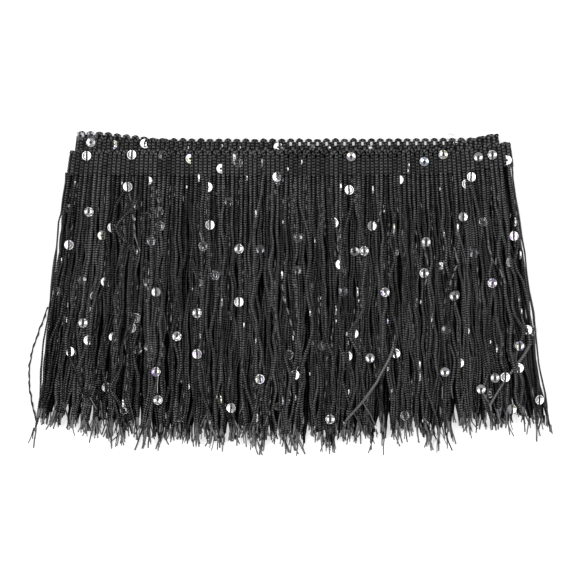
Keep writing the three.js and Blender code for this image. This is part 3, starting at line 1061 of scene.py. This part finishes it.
def sequins_that_show(shapes, surface, rng):
    """Adds the picture's sequins. Gives those under thread, and those that show by half."""
    places, half_hidden = [], []
    for name, pixels in SEQUINS.items():
        kind, foil_name = name.split()
        usual = LIES[kind]
        leans = [np.radians(lean) for lean in usual.leans]
        reach = FOLDED_REACH if usual.fold else TOP_REACH if usual.depth < -0.3 else OTHER_REACH
        for pixel in pixels:
            toward = rng.choice(leans) + rng.normal(0, 0.15) if leans else rng.uniform(0, 2 * np.pi)
            lie = usual._replace(tilt=usual.tilt * rng.uniform(0.4, 1.6 if kind == "full" else 1.2))
            x, y = seen_at(*pixel) + lie.aside * np.array([np.cos(toward), np.sin(toward)])
            centre = np.array([x, y, surface.height(x, y, reach) - lie.depth])
            tone = rng.uniform(0.75, 1) if lie.bar else rng.uniform(0.4, 1)
            add_sequin(shapes[foil_name], centre, lie, toward, rng.uniform(0, 1), tone)
            if lie.bar and y < edge_at(EDGES["lower"], x) - 3:
                places.append((centre, lie.bar))
            if lie.aside:
                half_hidden.append((centre, 1 if kind == "left" else -1))
    return places, half_hidden


def hidden_sequins(shapes, surface, rng):
    """Adds sequins that glint between the cords, darkened with painted shade."""
    for _ in range(HIDDEN_SEQUINS):
        line = surface.groove(rng.uniform(-118, 120), rng.uniform(-70, 48), 4)
        if len(line) < 3:
            continue
        foil_name = rng.choice(list(FOILS), p=(0.6, 0.05, 0.05, 0, 0.3))
        centre = line[len(line) // 2] - [0, 0, rng.uniform(*HIDDEN_DEPTHS)]
        lie = LIES["sunk"]._replace(tilt=rng.uniform(*HIDDEN_TILTS))
        toward, spin, tone = rng.uniform(0, 6.3), rng.uniform(0, 1), rng.uniform(*HIDDEN_SHADED_TONES)
        add_sequin(shapes[foil_name], centre, lie, toward, spin, tone)


def under_sequins(shapes, rng):
    """Adds the sequins of the side on the floor."""
    for _ in range(UNDER_SEQUINS):
        centre = np.array([rng.uniform(-112, 112), rng.uniform(-68, 66), UNDER_HEIGHT])
        foil_name = rng.choice(list(FOILS), p=(0.7, 0.15, 0.1, 0.05, 0))
        add_sequin(shapes[foil_name], centre, LIES["under"], 0.0, rng.uniform(0, 1), rng.uniform(0.75, 1))


def sequins(surface, rng):
    """All the sequins, those under thread, and those that show by half."""
    shapes = {name: Shape() for name in FOILS}
    places, half_hidden = sequins_that_show(shapes, surface, rng)
    hidden_sequins(shapes, surface, rng)
    under_sequins(shapes, np.random.default_rng(23))
    pieces = [shape.object(f"sequins_{name}", FOILS[name], smooth=False) for name, shape in shapes.items()]
    return pieces, places, half_hidden


# --- the studio

SURROUND, FLOOR_SIZE = 0.22, 6
LAMPS = {  # place and size in metres, and power in watts
    "left": ((-0.95, 0.1, 1.25), 1.1, 12.5),
    "right": ((0.95, 0.1, 1.25), 1.1, 10.5),
}


def surround():
    """A dim white surround, and a white floor with a faint glow."""
    world = bpy.data.worlds.new("surround")
    world.use_nodes = True
    background = world.node_tree.nodes["Background"].inputs
    background["Color"].default_value = (1, 1, 1, 1)
    background["Strength"].default_value = SURROUND
    bpy.context.scene.world = world
    bpy.ops.mesh.primitive_plane_add(size=FLOOR_SIZE)
    floor = bpy.context.object
    floor.name = "floor"
    colours = {"Base_Color": (0.85, 0.85, 0.85, 1), "Emission_Color": (1, 1, 1, 1), "Emission_Strength": 0.6}
    white = Recipe("floor_white", Roughness=0.9, Specular_IOR_Level=0.1, **colours)
    floor.data.materials.append(white.material)


def lamps():
    """A large soft light on each side."""
    for name, (place, size, energy) in LAMPS.items():
        lamp = bpy.data.lights.new(name, "AREA")
        lamp.size, lamp.energy = size, energy
        softbox = bpy.data.objects.new(name, lamp)
        softbox.location = place
        softbox.rotation_euler = Vector(place).to_track_quat("Z", "Y").to_euler()
        bpy.context.scene.collection.objects.link(softbox)


def camera():
    """The view from straight above the middle of the picture."""
    lens = bpy.data.cameras.new("camera")
    lens.lens, lens.sensor_width, lens.clip_start = 100, 36, 0.01
    camera = bpy.data.objects.new("camera", lens)
    x, y = seen_at(VIEW_PIXELS / 2, VIEW_PIXELS / 2)
    away = VIEW_PIXELS * PIXEL * lens.lens / lens.sensor_width
    camera.location = (x * MM, y * MM, (away + HEIGHTS["top"]) * MM)
    bpy.context.scene.collection.objects.link(camera)
    bpy.context.scene.camera = camera


def place(pieces, slot, node=None):
    """Puts pieces on the one body and hides the node that they replace; slot, what they are made of, is not
    used.
    """
    for piece in pieces:
        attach(piece, "root")
        if node:
            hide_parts(node)


def main():
    rng = np.random.default_rng(SEED)
    bpy.context.scene.view_settings.view_transform = "Standard"
    surround()
    lamps()
    camera()
    ground = heading_ground()
    ribs = heading_ribs(rng)
    stitches = heading_stitches(rng)
    place([ground, ribs, stitches], "heading_yarn", "heading")
    paths = {layer: cord_paths(layer, rng) for layer in LAYERS}
    lay_edges(paths)
    pale = lay_routes(paths["top"])
    surface = Surface(paths["top"], paths["upper"])
    shiny, places, half_hidden = sequins(surface, rng)
    place(shiny, "sequin")
    cover_sequins(paths["top"], half_hidden)
    hanging = []
    for layer in LAYERS:
        pieces = hang_cords(layer, paths[layer], pale, rng)
        place(pieces, "cord_yarn", f"fringe_{layer}")
        hanging += pieces
    frayed = frayed_ends(paths, rng)
    place([frayed], "cord_yarn")
    threads = sewing_threads(surface, places, rng)
    place([threads], "thread")


main()
